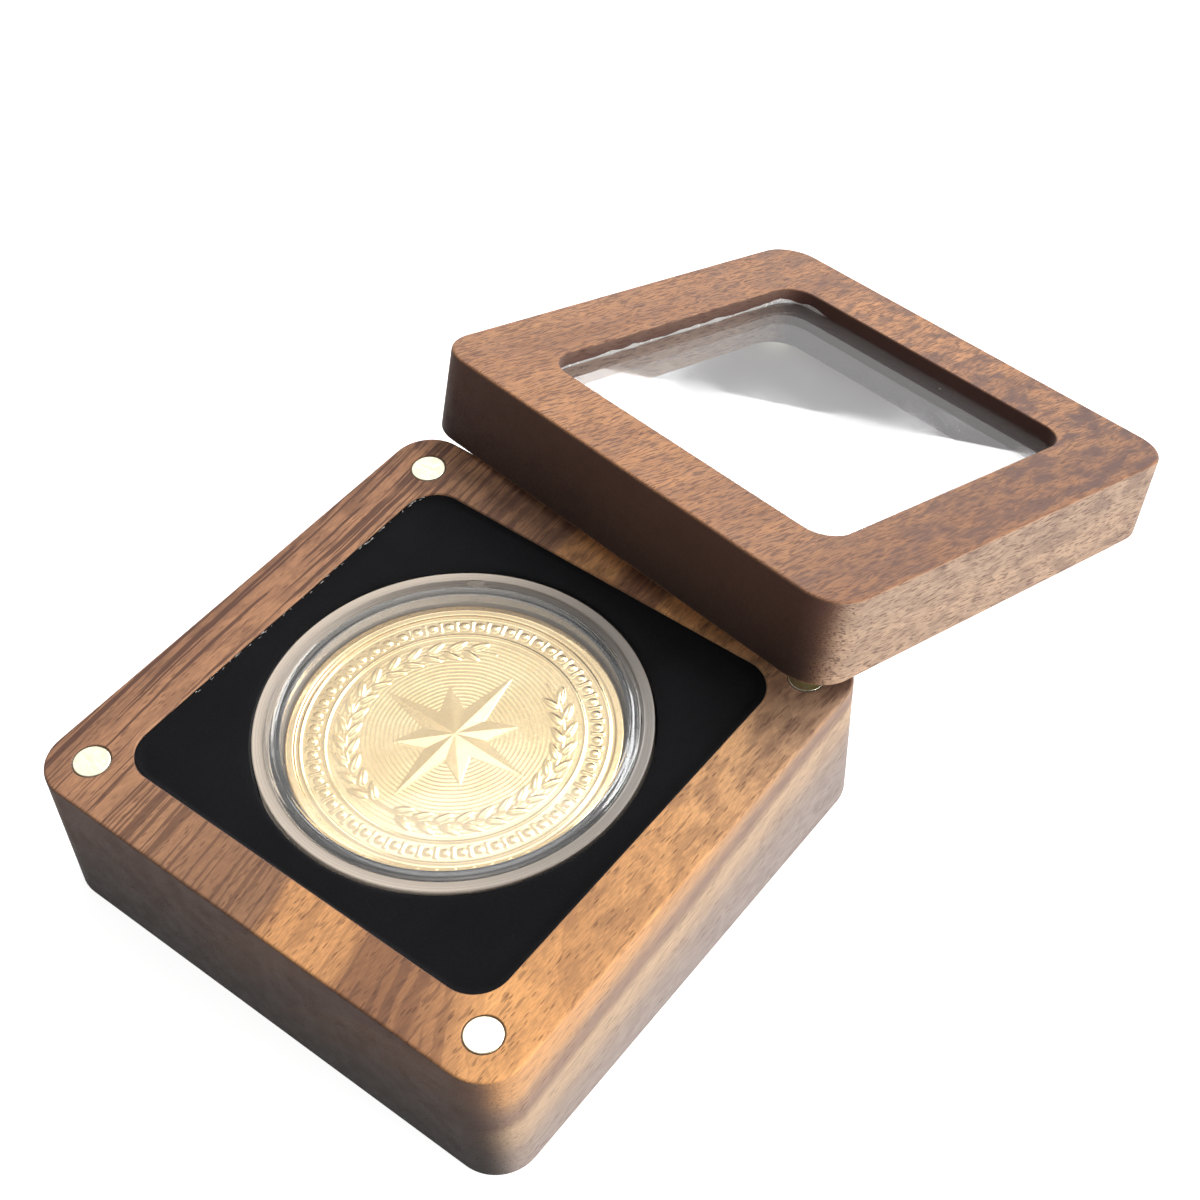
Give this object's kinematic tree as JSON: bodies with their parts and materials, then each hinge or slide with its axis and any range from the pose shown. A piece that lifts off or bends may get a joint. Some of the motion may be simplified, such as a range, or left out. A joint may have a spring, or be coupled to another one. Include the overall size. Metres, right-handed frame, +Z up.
{
  "type": "coin display case",
  "caption": "Square walnut coin display case with a lift-off magnetic window lid, shown leaning on the open base, a velvet insert and a clear capsule holding a coin.",
  "frame": {"origin": "centre of the base's underside, on the table", "axes": "+Z up, +Y from the base towards the side where the lid leans, +X along the base's front side"},
  "size_m": [0.079, 0.1392, 0.0353],
  "materials": {
    "walnut": "oiled, satin",
    "nickel": "polished nickel plate",
    "foam": "matte closed-cell foam",
    "velvet": "short black pile",
    "clear_acrylic": "clear, polished",
    "gilt_brass": "bright pale gold plate",
    "pane_acrylic": "clear, polished",
    "clear_adhesive": "clear cured adhesive"
  },
  "bodies": {
    "base": {"base_block": "walnut", "base_magnet_left": "nickel", "base_magnet_near": "nickel", "base_magnet_right": "nickel", "base_magnet_far": "nickel", "insert_pad": "foam", "insert_ring": "foam", "insert_facing": "velvet"},
    "lid": {"lid_frame": "walnut", "window_pane": "pane_acrylic", "pane_adhesive": "clear_adhesive", "lid_magnet_left": "nickel", "lid_magnet_near": "nickel", "lid_magnet_right": "nickel", "lid_magnet_far": "nickel"},
    "capsule": {"capsule_bottom": "clear_acrylic"},
    "cover": {"capsule_cover": "clear_acrylic"},
    "coin": {"coin": "gilt_brass"}
  },
  "joints": [
    {"name": "lift_lid", "type": "slide", "parent": "base", "child": "lid", "axis": [0, 0, 1], "range_m": [0, 0.06]},
    {"name": "lift_capsule", "type": "slide", "parent": "base", "child": "capsule", "axis": [0, 0, 1], "range_m": [0, 0.03]},
    {"name": "lift_cover", "type": "slide", "parent": "capsule", "child": "cover", "axis": [0, 0, 1], "range_m": [0, 0.024]},
    {"name": "lift_coin", "type": "slide", "parent": "capsule", "child": "coin", "axis": [0, 0, 1], "range_m": [0, 0.012]}
  ],
  "couplings": [
    {"joint": "lift_coin", "follows": "lift_cover", "ratio": 0.5}
  ]
}
